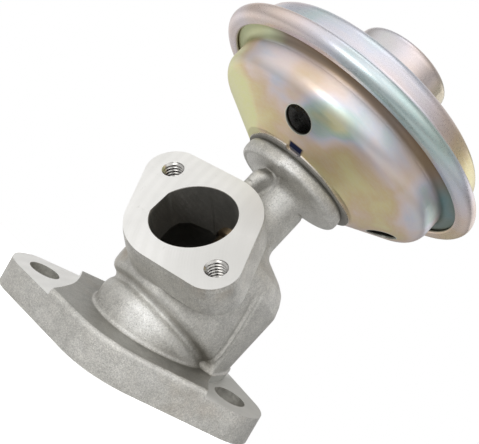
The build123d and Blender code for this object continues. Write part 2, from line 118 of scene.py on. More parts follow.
class Shape2:
    """Signed distance of a closed outline, sampled on a fine grid and read back by interpolation."""

    def __init__(self, pts, step=0.2, pad=6.0, blur=0.0):
        pts = np.array(pts, float)
        self.lo = pts.min(0) - pad
        n = np.ceil((pts.max(0) + pad - self.lo) / step).astype(int) + 1
        self.step = step
        gx, gy = np.meshgrid(self.lo[0] + step * np.arange(n[0]), self.lo[1] + step * np.arange(n[1]), indexing="ij")
        self.f = poly_sd(gx, gy, pts)
        if blur > 0:
            r = int(math.ceil(3 * blur / step))
            k = np.exp(-0.5 * (np.arange(-r, r + 1) * step / blur) ** 2)
            k /= k.sum()
            for ax in (0, 1):
                padded = np.pad(self.f, [(r, r) if a == ax else (0, 0) for a in (0, 1)], mode="edge")
                out = np.zeros_like(self.f)
                for i, w in enumerate(k):
                    out += w * (padded[i:i + self.f.shape[0], :] if ax == 0 else padded[:, i:i + self.f.shape[1]])
                self.f = out

    def __call__(self, x, y):
        u = (x - self.lo[0]) / self.step
        v = (y - self.lo[1]) / self.step
        uc = np.clip(u, 0, self.f.shape[0] - 1.001)
        vc = np.clip(v, 0, self.f.shape[1] - 1.001)
        i, j = uc.astype(int), vc.astype(int)
        a, b = uc - i, vc - j
        f = self.f
        out = (f[i, j] * (1 - a) * (1 - b) + f[i + 1, j] * a * (1 - b) + f[i, j + 1] * (1 - a) * b + f[i + 1, j + 1] * a * b)
        return out + np.hypot(u - uc, v - vc) * self.step


def smin(a, b, k):
    h = np.clip(0.5 + 0.5 * (b - a) / k, 0, 1)
    return b * (1 - h) + a * h - k * h * (1 - h)


def smax(a, b, k):
    return -smin(-a, -b, k)


def smooth(t):
    t = np.clip(t, 0, 1)
    return t * t * (3 - 2 * t)


def slab(d2, w, lo, hi, r=0.0, draft=0.0):
    """A drafted plate: outline distance d2, height w between lo and hi, edges rounded by r."""
    d2 = d2 + draft * (w - lo)
    h = np.abs(w - 0.5 * (lo + hi)) - 0.5 * (hi - lo)
    a, b = d2 + r, h + r
    return np.minimum(np.maximum(a, b), 0) + np.hypot(np.maximum(a, 0), np.maximum(b, 0)) - r


def capsule(p, a, b, r):
    a, b = np.array(a, float), np.array(b, float)
    ab = b - a
    t = np.clip(((p - a) @ ab) / (ab @ ab), 0, 1)
    q = p - a - t[..., None] * ab
    return np.sqrt((q * q).sum(-1)) - r


def circle_pts(cx, cy, r, a0, a1, n):
    a = np.radians(np.linspace(a0, a1, n))
    return list(zip(cx + r * np.cos(a), cy + r * np.sin(a)))


def hull(circles, n=96):
    """Outline of the convex hull of circles (x, y, r)."""
    a = np.linspace(0, 2 * np.pi, n, endpoint=False)
    p = np.concatenate([np.c_[x + r * np.cos(a), y + r * np.sin(a)] for x, y, r in circles])
    p = p[np.lexsort((p[:, 1], p[:, 0]))]

    def half(pts):
        out = []
        for q in pts:
            while len(out) > 1 and ((out[-1][0] - out[-2][0]) * (q[1] - out[-2][1]) - (out[-1][1] - out[-2][1]) * (q[0] - out[-2][0])) <= 1e-9:
                out.pop()
            out.append(q)
        return out
    lower, upper = half(p), half(p[::-1])
    return np.array(lower[:-1] + upper[:-1])


# ------------------------------------------------------------------ the casting
body_pts = [(17.2, -20), (17.2, 3.0), (18.3, 8.5), (18.9, 11.3), (18.6, 13.4), (17.75, 14.9), (18.5, 16.0), (20.3, 16.7), (21.1, 18.0),
            (21.4, 20.5), (21.5, 36.0), (20.9, 39.2), (19.4, 41.7), (17.1, 43.4), (14.4, 44.7), (12.3, 45.7), (10.4, 46.6), (9.3, 47.9),
            (8.85, 49.5), (8.85, 62), (-60, 62)]
core2 = Shape2([(-60, -20)] + body_pts, blur=0.35)
rear2 = Shape2([(-60, -20), (21.5, -20)] + body_pts[10:], blur=0.35)
rim = [(17.0, 68.2), (16.8, 69.0), (16.2, 69.7), (16.2, 73), (-60, 73)]
# the round flange differs a little each side of the mould line
head_a = Shape2([(-60, 50), (8.85, 50), (8.85, 60.6), (9.1, 61.8), (9.8, 63.0), (11.4, 64.0), (14.5, 64.75), (15.3, 65.15), (15.8, 64.75),
                 (16.5, 65.0), (16.9, 65.8), (17.0, 66.8)] + rim, blur=0.2)
head_b = Shape2([(-60, 50), (8.3, 50), (8.3, 61.6), (8.7, 62.6), (9.6, 63.5), (11.2, 64.3), (15.6, 65.2), (16.4, 65.5), (16.9, 66.1),
                 (17.0, 66.9)] + rim, blur=0.2)
plate2 = Shape2(hull([(0, 0, 18.8), (18.1, -8.5, 7.9), (-19.05, 8.0, 8.2)]))
flange2 = Shape2(hull([(FL_CX, FL_CY, 25.4), (-31, 0, 9.7), (31, 0, 9.7)]))
gusset2 = Shape2([(AY, 44.5), (-9.0, 50.0), (-11.3, 54.0), (-11.4, 58.0), (-11.4, 60.6), (-10.9, 61.9), (-9.7, 63.1), (-8.2, 64.2), (-6.5, 66.0), (AY, 66.0)], blur=0.4)


C3, S3 = math.cos(math.radians(3)), math.sin(math.radians(3))
C74, S74 = math.cos(math.radians(74)), math.sin(math.radians(74))
C158, S158 = math.cos(math.radians(158)), math.sin(math.radians(158))
RIDGE = [(1.0, 15.2), (-3.0, 22.5), (-6.0, 26.3), (-10.0, 31.0), (-14.0, 35.0)]     # azimuth, height
RIDGE_AZ, RIDGE_Z = [a for a, z in RIDGE], [z for a, z in RIDGE]


def casting(p):
    u, v, w = STEM.local(p)
    r = np.hypot(u, v)
    t = smooth((v * C74 + u * S74) / 0.7 + 0.5)
    # the groove under the chamber dips towards the mould line
    low = w + np.interp(np.degrees(np.arctan2(v, u)), (-120, -100, -70, -32, -10, 3, 20), (0, -0.6, -0.4, 0.3, 1.0, 1.8, 0)) * smooth((23.0 - w) / 5.0)
    f = core2(r + 0.55 * t * smooth((w - 46.0) / 4.0), low)
    # the grooves run out at az 3 and 158, and the half behind the mould line is a little fuller
    s1 = smooth(np.minimum(v * C3 - u * S3, u * S158 - v * C158) / 2.0 + 0.5)
    f = f * (1 - s1) + rear2(r, w) * s1
    az = np.radians(np.interp(w, RIDGE_Z, RIDGE_AZ))
    side = np.minimum(v * np.cos(az) - u * np.sin(az), u * S158 - v * C158)
    f = f - 0.6 * smooth(side / 1.4) * smooth((40.0 - w) / 5.0)
    # round flange at the top of the neck
    head = head_a(r, w) * (1 - t) + head_b(r, w) * t
    f = np.minimum(f, head)
    # outlet duct and plate
    a, c, h = OUTLET.local(p)
    duct = slab(np.hypot(a, c) - 16.6, h, -24.0, -5.0, 2.0)
    f = smin(f, duct, 3.0)
    plate = slab(plate2(a, c), h, -9.4, 3.0, 0.9, 0.02)
    seam = 0.45 * np.exp(-((plate - f) / 1.3) ** 2) * smooth((3.0 - c) / 4.0) * smooth((-h - 3.0) / 2.0)
    f = smin(f, plate, 1.0) + seam
    # rib between plate, neck and round flange, wider at its top
    x = p[..., 0]
    rib_x = np.maximum(-3.0 - x, x - 0.5 - 1.5 * smooth((w - 57.0) / 5.5))
    g = slab(gusset2(p[..., 1], w), rib_x, -20, 0, 1.7)
    f = smin(f, g, 0.9)
    f = smax(f, np.minimum(np.minimum(plate, h + 0.7), 20.2 - c), 0.6)
    # mounting flange
    d, e, k = FLANGE.local(p)
    fl = slab(flange2(d, e), k, -3.0, 10.0, 1.4, 0.015)
    f = smin(f, fl, 1.2)
    # flash line where the mould halves met, on the right of the chamber
    line = 0.34 * np.exp(-(side / 0.40) ** 2) - 0.26 * np.exp(-((side + 0.9) / 0.55) ** 2)
    return f - line * smooth((w - 13.5) / 2.0) * smooth((36.0 - w) / 2.0) * (u > 0) * smooth((r - 19.0) / 1.0)


def surface_nets(f, lo, hi, h):
    """Closed quad mesh of f = 0 inside a box, then pulled onto the surface by Newton steps."""
    n = np.ceil((np.array(hi) - np.array(lo)) / h).astype(int) + 1
    ax = [lo[i] + h * np.arange(n[i]) for i in range(3)]
    F = np.empty(n, np.float64)
    for i in range(n[0]):
        gy, gz = np.meshgrid(ax[1], ax[2], indexing="ij")
        F[i] = f(np.stack([np.full_like(gy, ax[0][i]), gy, gz], -1))
    F[[0, -1]] = 5
    F[:, [0, -1]] = 5
    F[:, :, [0, -1]] = 5
    m = n - 1
    acc = np.zeros((*m, 3))
    cnt = np.zeros(m, np.int32)
    corners = [(i, j, k) for i in (0, 1) for j in (0, 1) for k in (0, 1)]
    sl = lambda c: F[c[0]:c[0] + m[0], c[1]:c[1] + m[1], c[2]:c[2] + m[2]]
    for a in corners:
        for axis in range(3):
            if a[axis]:
                continue
            b = list(a)
            b[axis] = 1
            fa, fb = sl(a), sl(b)
            mask = (fa < 0) != (fb < 0)
            t = fa[mask] / (fa[mask] - fb[mask])
            pos = np.tile(np.array(a, float), (len(t), 1))
            pos[:, axis] = t
            acc[mask] += pos
            cnt[mask] += 1
    cells = cnt > 0
    idx = np.full(m, -1, np.int64)
    idx[cells] = np.arange(cells.sum())
    ijk = np.argwhere(cells)
    V = np.array(lo) + h * (ijk + acc[cells] / cnt[cells][:, None])
    Q = []
    S = F < 0
    for axis in range(3):
        o = [slice(1, -1)] * 3
        o[axis] = slice(0, -1)
        o2 = list(o)
        o2[axis] = slice(1, None)
        s0, s1 = S[tuple(o)], S[tuple(o2)]
        change = np.argwhere(s0 != s1)
        inner = s0[s0 != s1]
        base = change + np.array([0 if i == axis else 1 for i in range(3)])
        b1, b2 = (axis + 1) % 3, (axis + 2) % 3
        e1, e2 = np.zeros(3, int), np.zeros(3, int)
        e1[b1], e2[b2] = 1, 1
        c = [base - e1 - e2, base - e2, base, base - e1]
        q = np.stack([idx[tuple(x.T)] for x in c], 1)
        q[~inner] = q[~inner][:, ::-1]
        Q.append(q)
    Q = np.concatenate(Q)
    for _ in range(3):
        val = f(V)
        g = np.stack([(f(V + d) - f(V - d)) / 0.1 for d in (np.eye(3) * 0.05)], -1)
        g2 = np.maximum((g * g).sum(-1), 0.05)
        V = V - np.clip(val / g2, -0.3, 0.3)[:, None] * g
    return V, Q


def mesh_object(name, verts, faces, mats=(), indices=None, smooth=True):
    me = bpy.data.meshes.new(name)
    me.from_pydata([tuple(v) for v in np.asarray(verts) * MM], [], [tuple(int(i) for i in q) for q in faces])
    for m in mats:
        me.materials.append(m)
    if indices is not None:
        me.polygons.foreach_set("material_index", np.asarray(indices, np.int32))
    me.polygons.foreach_set("use_smooth", [smooth] * len(me.polygons))
    me.update()
    ob = bpy.data.objects.new(name, me)
    bpy.context.collection.objects.link(ob)
    return ob


# ------------------------------------------------------------------ machining tools for the casting
def tool_prism(fr, outline, w0, w1):
    """A prism cutter with an outline in a local frame."""
    n = len(outline)
    o = np.array(outline, float)
    lo = fr.world(o[:, 0], o[:, 1], np.full(n, w0))
    hi = fr.world(o[:, 0], o[:, 1], np.full(n, w1))
    faces = [list(range(n))[::-1], list(range(n, 2 * n))] + [[i, (i + 1) % n, n + (i + 1) % n, n + i] for i in range(n)]
    area = 0.5 * sum(o[i][0] * o[(i + 1) % n][1] - o[(i + 1) % n][0] * o[i][1] for i in range(n))
    if (area < 0) != (w1 < w0):
        faces = [f[::-1] for f in faces]
    return np.concatenate([lo, hi]), faces


def spot_outline(pts, keep, n=90):
    """A spot face's boundary in the flange's frame at height 8, held off the wall; returns lower and upper points."""
    p = np.array(pts, float)
    t = np.linspace(0, len(p) - 1, n)
    d, e = np.interp(t, range(len(p)), p[:, 0]), np.interp(t, range(len(p)), p[:, 1])
    w = FLANGE.world(d, e, np.full(n, 8.0))
    x, y = w[:, 0], w[:, 1] - AY
    r = np.hypot(x, y)
    k = np.maximum(keep / r, 1.0)
    x, y = x * k, y * k + AY
    z = (8.0 - x * FLANGE.z[0] - y * FLANGE.z[1]) / FLANGE.z[2]
    lo = np.stack([x, y, z], -1)
    a = smooth((r - keep) / 3.0)[:, None]
    up = a * FLANGE.z + (1 - a) * np.array([0, 0, 1.0])
    return lo, lo + 9.0 * up


def tool_spot(pts, far, keep):
    """Cutter for a spot face: bounded by a machined line or arc and by the body's wall."""
    lo, hi = spot_outline(pts, keep)
    f = np.array(far, float)
    flo = FLANGE.world(f[:, 0], f[:, 1], np.full(len(f), 8.0))
    lo, hi = np.concatenate([lo, flo]), np.concatenate([hi, flo + 9.0 * FLANGE.z])
    n = len(lo)
    V = np.concatenate([lo, hi])
    F = [list(range(n))[::-1], list(range(n, 2 * n))]
    for i in range(n):
        j = (i + 1) % n
        F += [[i, j, n + j], [i, n + j, n + i]]
    loc = FLANGE.local(lo)
    area = 0.5 * sum(loc[0][i] * loc[1][(i + 1) % n] - loc[0][(i + 1) % n] * loc[1][i] for i in range(n))
    if area < 0:
        F = [g[::-1] for g in F]
    return V, F


def tool_revolve(fr, prof, n=96, flat=None):
    """A turned cutter: profile (r, w) from the axis and back to it. flat limits the local x."""
    prof = [tuple(q) for q in prof]
    V, rings = [], []
    for r, w in prof:
        if r < 1e-6:
            rings.append([len(V)])
            V.append(fr.world(np.array(0.0), np.array(0.0), np.array(float(w))))
        else:
            a = np.linspace(0, 2 * np.pi, n, endpoint=False)
            x, y = r * np.cos(a), r * np.sin(a)
            if flat is not None:
                x = np.maximum(x, -flat)
            rings.append(list(range(len(V), len(V) + n)))
            V.extend(fr.world(x, y, np.full(n, float(w))))
    F = []
    for A, B in zip(rings[:-1], rings[1:]):
        for i in range(n):
            j = (i + 1) % n
            if len(A) == 1 and len(B) == 1:
                continue
            if len(A) == 1:
                F.append([A[0], B[j], B[i]])
            elif len(B) == 1:
                F.append([A[i], A[j], B[0]])
            else:
                F.append([A[i], A[j], B[j], B[i]])
    # outward faces: the signed volume is positive
    V = np.array(V)
    vol = sum(np.dot(V[f[0]], np.cross(V[f[i]], V[f[i + 1]])) for f in F for i in range(1, len(f) - 1))
    if vol < 0:
        F = [f[::-1] for f in F]
    return V, F


def tool_thread(fr, r_minor, r_major, pitch, depth, csk, n=64, per=10):
    """A tapped hole: helical V thread below a countersink, drill point at the bottom."""
    prof_w = list(np.arange(3.0, -depth - 1e-6, -pitch / per))
    V, rings = [], []
    a = np.linspace(0, 2 * np.pi, n, endpoint=False)
    for w in prof_w:
        ph = (w / pitch - a / (2 * np.pi)) % 1.0
        tri = np.clip(1.25 * (1 - np.abs(2 * ph - 1) * 1.15) , 0, 1)
        r = r_minor + (r_major - r_minor) * tri
        fade = np.clip((w + depth) / (1.2 * pitch), 0, 1)
        r = r_minor + (r - r_minor) * fade
        r = np.maximum(r, csk + w) if w > -(csk - r_minor) else r
        rings.append(list(range(len(V), len(V) + n)))
        V.extend(fr.world(r * np.cos(a), r * np.sin(a), np.full(n, w)))
    top, bot = len(V), len(V) + 1
    V.append(fr.world(np.array(0.0), np.array(0.0), np.array(prof_w[0])))
    V.append(fr.world(np.array(0.0), np.array(0.0), np.array(prof_w[-1] - r_minor * 0.6)))
    F = []
    for A, B in zip(rings[:-1], rings[1:]):
        for i in range(n):
            j = (i + 1) % n
            F.append([A[i], B[i], B[j], A[j]])
    for i in range(n):
        j = (i + 1) % n
        F.append([top, rings[0][i], rings[0][j]])
        F.append([bot, rings[-1][j], rings[-1][i]])
    return np.array(V), F


def arc3(p0, p1, p2, n=24):
    """Points on the circle through three points."""
    (ax, ay), (bx, by), (cx, cy) = p0, p1, p2
    d = 2 * (ax * (by - cy) + bx * (cy - ay) + cx * (ay - by))
    ux = ((ax * ax + ay * ay) * (by - cy) + (bx * bx + by * by) * (cy - ay) + (cx * cx + cy * cy) * (ay - by)) / d
    uy = ((ax * ax + ay * ay) * (cx - bx) + (bx * bx + by * by) * (ax - cx) + (cx * cx + cy * cy) * (bx - ax)) / d
    a0, a1, a2 = (math.atan2(q[1] - uy, q[0] - ux) for q in (p0, p1, p2))
    if not (a0 <= a1 <= a2 or a0 >= a1 >= a2):
        if a1 < a0:
            a1 += 2 * math.pi
            while a2 < a1:
                a2 += 2 * math.pi
        else:
            a1 -= 2 * math.pi
            while a2 > a1:
                a2 -= 2 * math.pi
    r = math.hypot(ax - ux, ay - uy)
    return [(ux + r * math.cos(t), uy + r * math.sin(t)) for t in np.linspace(a0, a2, n)]


def at(fr, u, v):
    return Frame(fr.o + u * fr.x + v * fr.y, fr.x, fr.z)


def casting_mesh(mats, step=0.4):
    """The casting's outer skin with its machined faces, bores and threads cut in."""
    V, Q = surface_nets(casting, (-44, -30, -18), (44, 30, 72), step)
    ob = mesh_object("casting_skin", V, Q, mats, np.zeros(len(Q)))
    big = [(-90, -90), (90, -90), (90, 90), (-90, 90)]
    tools = []
    tools.append((tool_prism(FLANGE, big, -40, 0), 1))
    tools.append((tool_prism(OUTLET, [(-35, -38), (35, -38), (35, 19.6), (-35, 19.6)], 0, 12), 1))
    tools.append((tool_prism(STEM, [(-30, -30), (30, -30), (30, 30), (-30, 30)], 69.7, 90), 1))
    left = arc3((-26.0, -34.0), (-20.8, -8.0), (-33.0, 24.0))
    tools.append((tool_spot(left, [(-60, 30), (-60, -34)], 22.4), 1))
    tools.append((tool_spot([(35.6, -34.0), (29.5, -17.2), (24.8, -4.7), (22.8, 1.5), (21.4, 7.3), (20.6, 14.0), (14.0, 34.0)], [(60, 34), (60, -34)], 22.7), 1))
    for s in (-31, 31):
        tools.append((tool_revolve(at(FLANGE, s, 0), [(0, -3), (4.5, -3), (4.5, 14), (0, 14)], 64), 2))
    # gas way: seat bore, chamber, guide bore
    way = [(0, -24), (14.0, -24), (14.0, 13.0), (12.6, 13.0), (12.6, 14.2), (15.6, 18.0), (16.3, 20.5), (16.3, 34.0), (15.4, 37.2),
           (13.0, 39.8), (8.0, 42.0), (6.0, 42.2), (6.0, 66.0), (7.0, 66.0), (7.0, 75), (0, 75)]
    tools.append((tool_revolve(STEM, way, 128), 2))
    duct = [(0, -19.5), (10.3, -19.5), (11.8, -18.0), (11.8, -0.12), (11.92, 0.0), (11.92, 3), (0, 3)]
    c15, s15 = math.cos(math.radians(15)), math.sin(math.radians(15))
    turned = Frame(OUTLET.o, c15 * OUTLET.x + s15 * OUTLET.y, OUTLET.z)
    tools.append((tool_revolve(turned, duct, 128, flat=11.25), 2))
    for s in (1, -1):
        tools.append((tool_thread(at(OUTLET, s * EAR[0], s * EAR[1]), 2.5, 3.05, 1.0, 9.0, 3.15), 3))
    coll = bpy.data.collections.new("machining")
    bpy.context.scene.collection.children.link(coll)
    obs = []
    for k, ((tv, tf), mi) in enumerate(tools):
        t = mesh_object("tool_%d" % k, tv, tf, mats, np.full(len(tf), mi), smooth=mi in (2, 3))
        obs.append(t)
        bpy.context.collection.objects.unlink(t)
        coll.objects.link(t)
    for k, t in enumerate(obs):
        mod = ob.modifiers.new("cut%d" % k, "BOOLEAN")
        mod.operation = "DIFFERENCE"
        mod.object = t
        mod.solver = SOLVER
    dg = bpy.context.evaluated_depsgraph_get()
    me = bpy.data.meshes.new_from_object(ob.evaluated_get(dg), preserve_all_data_layers=True, depsgraph=dg)
    ob.modifiers.clear()
    ob.data = me
    for t in obs:
        bpy.data.objects.remove(t)
    bpy.data.collections.remove(coll)
    n = len(me.polygons)
    nor, mi, sm = np.zeros(3 * n, np.float32), np.zeros(n, np.int32), np.zeros(n, bool)
    me.polygons.foreach_get("normal", nor)
    me.polygons.foreach_get("material_index", mi)
    me.polygons.foreach_get("use_smooth", sm)
    plane = np.max(np.abs(nor.reshape(-1, 3) @ np.array([FLANGE.z, OUTLET.z, STEM.z]).T), axis=1) > 0.99999
    sm[plane & (mi == 1)] = False
    me.polygons.foreach_set("use_smooth", sm)
    me.set_sharp_from_angle(angle=math.radians(32))
    return ob


SOLVER = "MANIFOLD"

# === SCENE
# ------------------------------------------------------------------ shader building
class Mat:
    """A node material, built from small calls. Coordinates are the object's own, in metres."""

    def __init__(self, name):
        self.m = bpy.data.materials.new(name)
        self.m.use_nodes = True
        self.t = self.m.node_tree
        self.n = self.t.nodes
        self.out = self.n["Material Output"]
        self.b = self.n["Principled BSDF"]
        self.co = self.n.new("ShaderNodeTexCoord").outputs["Object"]

    def put(self, sock, val):
        if isinstance(val, bpy.types.NodeSocket):
            self.t.links.new(val, sock)
        elif isinstance(val, (tuple, list)) and len(val) == 3 and sock.type == "RGBA":
            sock.default_value = (*val, 1.0)
        else:
            sock.default_value = val

    def set(self, **kw):
        for k, v in kw.items():
            self.put(self.b.inputs[k.replace("_", " ")], v)
        return self

    def math(self, op, a, b=None, clamp=False):
        n = self.n.new("ShaderNodeMath")
        n.operation = op
        n.use_clamp = clamp
        self.put(n.inputs[0], a)
        if b is not None:
            self.put(n.inputs[1], b)
        return n.outputs[0]

    def vec(self, op, a, b=None):
        n = self.n.new("ShaderNodeVectorMath")
        n.operation = op
        self.put(n.inputs[0], a)
        if b is not None:
            self.put(n.inputs[1], b)
        return n.outputs["Value"] if op in ("LENGTH", "DOT_PRODUCT", "DISTANCE") else n.outputs[0]

    def xyz(self, a):
        n = self.n.new("ShaderNodeSeparateXYZ")
        self.put(n.inputs[0], a)
        return n.outputs

    def join(self, x, y, z):
        n = self.n.new("ShaderNodeCombineXYZ")
        for s, v in zip(n.inputs, (x, y, z)):
            self.put(s, v)
        return n.outputs[0]

    def noise(self, scale, detail=4.0, rough=0.55, vec=None, distortion=0.0):
        n = self.n.new("ShaderNodeTexNoise")
        self.put(n.inputs["Vector"], self.co if vec is None else vec)
        n.inputs["Scale"].default_value = scale
        n.inputs["Detail"].default_value = detail
        n.inputs["Roughness"].default_value = rough
        n.inputs["Distortion"].default_value = distortion
        return n.outputs["Fac"]

    def cells(self, scale, feature="F1", vec=None):
        n = self.n.new("ShaderNodeTexVoronoi")
        n.feature = feature
        self.put(n.inputs["Vector"], self.co if vec is None else vec)
        n.inputs["Scale"].default_value = scale
        return n.outputs["Distance"]

    def ramp(self, fac, stops, mode="LINEAR"):
        n = self.n.new("ShaderNodeValToRGB")
        self.put(n.inputs[0], fac)
        cr = n.color_ramp
        cr.interpolation = mode
        while len(cr.elements) > 1:
            cr.elements.remove(cr.elements[-1])
        for i, (p, c) in enumerate(stops):
            e = cr.elements[0] if i == 0 else cr.elements.new(p)
            e.position = p
            e.color = (c, c, c, 1) if isinstance(c, (int, float)) else (*c, 1)
        return n.outputs[0]

    def span(self, v, lo, hi, a=0.0, b=1.0, kind="SMOOTHSTEP"):
        n = self.n.new("ShaderNodeMapRange")
        n.interpolation_type = kind
        self.put(n.inputs["Value"], v)
        for k, x in (("From Min", lo), ("From Max", hi), ("To Min", a), ("To Max", b)):
            n.inputs[k].default_value = x
        return n.outputs["Result"]

    def mix(self, fac, a, b, mode="MIX"):
        n = self.n.new("ShaderNodeMix")
        n.data_type = "RGBA"
        n.blend_type = mode
        self.put(n.inputs[0], fac)
        self.put(n.inputs[6], a)
        self.put(n.inputs[7], b)
        return n.outputs[2]

    def bump(self, height, strength, dist, normal=None):
        n = self.n.new("ShaderNodeBump")
        self.put(n.inputs["Height"], height)
        n.inputs["Strength"].default_value = strength
        n.inputs["Distance"].default_value = dist
        if normal is not None:
            self.put(n.inputs["Normal"], normal)
        return n.outputs[0]

    def sound_normal(self):
        """The smooth normal, or the facet's own one where the two are far apart."""
        g = self.n.new("ShaderNodeNewGeometry").outputs
        ok = self.span(self.vec("DOT_PRODUCT", g["Normal"], g["True Normal"]), 0.955, 0.985)
        a = self.n.new("ShaderNodeMix")
        a.data_type = "VECTOR"
        self.put(a.inputs[0], ok)
        self.put(a.inputs[4], g["True Normal"])
        self.put(a.inputs[5], g["Normal"])
        return self.vec("NORMALIZE", a.outputs[1])

    def edges(self, lo=0.51, hi=0.57):
        g = self.n.new("ShaderNodeNewGeometry").outputs["Pointiness"]
        return self.span(g, lo, hi)

    def cavity(self, dist, lo=0.35, hi=0.95):
        """0 deep in a recess, 1 in the open."""
        n = self.n.new("ShaderNodeAmbientOcclusion")
        n.samples = 6
        n.inputs["Distance"].default_value = dist * MM
        return self.span(n.outputs["AO"], lo, hi)

    def near(self, p, r, soft):
        """1 inside a ball of radius r round a point (millimetres), fading over soft."""
        d = self.vec("DISTANCE", self.co, tuple(c * MM for c in p))
        return self.span(d, r * MM, (r + soft) * MM, 1.0, 0.0)


def cast_material():
    m = Mat("cast_aluminium_skin")
    big = m.noise(34, 6, 0.62)
    mid = m.noise(190, 5, 0.6)
    fine = m.noise(1900, 4, 0.72)
    grit = m.noise(3800, 3, 0.65)
    pits = m.cells(900)
    col = m.ramp(big, [(0.30, (0.54, 0.525, 0.49)), (0.48, (0.65, 0.64, 0.605)), (0.66, (0.75, 0.74, 0.71))])
    col = m.mix(m.span(mid, 0.38, 0.68, 0.0, 0.7), col, (0.69, 0.675, 0.635))
    # painted highlights: the drum's crown, the neck and the round flange's rim made lighter and a little smoother where
    # the lamp's highlight falls
    crown = m.math("MAXIMUM", m.near((7.4, -14.2, 10.3), 2.0, 6.5), m.math("MAXIMUM", m.near((4.5, -4.2, 59.2), 0.5, 6.0), m.near((6.6, -12.9, 67.3), 0.5, 5.0)))
    crown = m.math("MULTIPLY", crown, m.span(mid, 0.25, 0.60, 0.55, 1.0))
    col = m.mix(m.math("MULTIPLY", crown, 0.85), col, (0.97, 0.97, 0.95))
    col = m.mix(0.9, col, m.ramp(m.noise(300, 5, 0.65), [(0.34, 0.88), (0.5, 1.0), (0.66, 1.10)]), "MULTIPLY")
    col = m.mix(0.7, col, m.ramp(fine, [(0.36, 0.80), (0.5, 0.99), (0.62, 1.20)]), "MULTIPLY")
    col = m.mix(0.4, col, m.ramp(grit, [(0.34, 0.76), (0.5, 1.0), (0.66, 1.24)]), "MULTIPLY")
    # handling and heat stains, mostly on the drum's shoulder and the outlet's ear
    st = m.math("MULTIPLY", m.span(m.noise(105, 5, 0.6), 0.46, 0.66),
                m.math("MAXIMUM", m.near((-22, -14, 22), 9, 12), m.near((18, -26, 33), 5, 9)))
    st = m.math("ADD", st, m.span(m.noise(52, 4, 0.6), 0.60, 0.78, 0.0, 0.35), clamp=True)
    col = m.mix(m.math("MULTIPLY", st, 0.55), col, (0.47, 0.36, 0.24))
    worn = m.math("MULTIPLY", m.edges(0.505, 0.56), m.span(mid, 0.3, 0.6, 0.35, 1.0))
    col = m.mix(m.math("MULTIPLY", worn, 0.5), col, (0.80, 0.79, 0.76))
    hole = m.span(pits, 0.05, 0.18, 1.0, 0.0)
    col = m.mix(m.math("MULTIPLY", hole, m.span(mid, 0.45, 0.65, 0.0, 0.4)), col, (0.24, 0.23, 0.215))
    # painted shade: darker in the hollows, the more enclosed the surface
    painted_shade_openness = m.cavity(9, 0.32, 0.90)
    col = m.mix(painted_shade_openness, m.mix(1.0, col, (0.50, 0.49, 0.465), "MULTIPLY"), col)
    # painted shade on the open top of the mounting flange: darker where the surface faces along the flange's normal
    # near its top
    up = m.vec("DOT_PRODUCT", m.n.new("ShaderNodeTexCoord").outputs["Normal"], tuple(FLANGE.z))
    tall = m.vec("DOT_PRODUCT", m.co, tuple(FLANGE.z))
    film = m.math("MULTIPLY", m.span(up, 0.90, 0.985), m.span(m.math("ABSOLUTE", m.math("SUBTRACT", tall, 0.0100)), 0.0012, 0.0004))
    col = m.mix(m.math("MULTIPLY", film, m.span(big, 0.25, 0.6, 0.75, 1.0)), col, m.mix(1.0, col, (0.60, 0.60, 0.59), "MULTIPLY"))
    rough = m.math("SUBTRACT", m.math("ADD", m.span(fine, 0.3, 0.7, 0.30, 0.50), m.math("MULTIPLY", worn, -0.10)), m.math("MULTIPLY", crown, 0.06))
    h = m.math("ADD", m.math("MULTIPLY", fine, 1.0), m.math("MULTIPLY", grit, 0.5))
    n = m.bump(mid, 0.35, 0.00045)
    n = m.bump(h, 0.85, 0.00018, n)
    m.set(Base_Color=col, Roughness=rough, Metallic=0.86, Normal=n)
    return m.m


def machined_material():
    """Milled faces: arcs of the cutter, a few scuffs, painted shade on parts of the outlet's face and on the right spot
    face.
    """
    m = Mat("machined_aluminium")
    d = m.vec("LENGTH", m.vec("SUBTRACT", m.co, (0.052, -0.034, 0.078)))
    wob = m.noise(60, 3, 0.5)
    arcs = m.math("SINE", m.math("ADD", m.math("MULTIPLY", d, 2 * math.pi / 0.00072), m.math("MULTIPLY", wob, 5.0)))
    arcs2 = m.math("SINE", m.math("MULTIPLY", d, 2 * math.pi / 0.0031))
    big = m.noise(70, 5, 0.6)
    fine = m.noise(2400, 2, 0.6)
    col = m.ramp(big, [(0.3, (0.88, 0.875, 0.855)), (0.6, (0.96, 0.955, 0.94))])
    col = m.mix(m.span(arcs2, -1, 1, 0.0, 0.22), col, (0.80, 0.795, 0.775))
    col = m.mix(m.span(m.noise(420, 4, 0.7), 0.62, 0.78, 0.0, 0.45), col, (0.55, 0.54, 0.51))
    # painted shade: darker toward the outlet's right ear and up by the neck
    painted_shade_plate = m.math("MAXIMUM", m.near((21.0, -20.0, 34.0), 3, 22), m.near((12.0, -15.0, 50.0), 2, 14))
    col = m.mix(m.math("MULTIPLY", painted_shade_plate, 0.8), col, (0.74, 0.735, 0.715))
    # painted shade on the right spot face
    col = m.mix(m.near((31.0, 13.0, 14.0), 12, 6), col, m.ramp(big, [(0.3, (0.50, 0.50, 0.47)), (0.6, (0.62, 0.615, 0.59))]))
    rough = m.math("ADD", m.span(big, 0.3, 0.7, 0.42, 0.54), m.math("MULTIPLY", arcs, 0.03))
    h = m.math("ADD", m.math("MULTIPLY", arcs, 0.5), fine)
    m.set(Base_Color=col, Roughness=rough, Metallic=0.55, Normal=m.bump(h, 0.16, 0.00005))
    return m.m


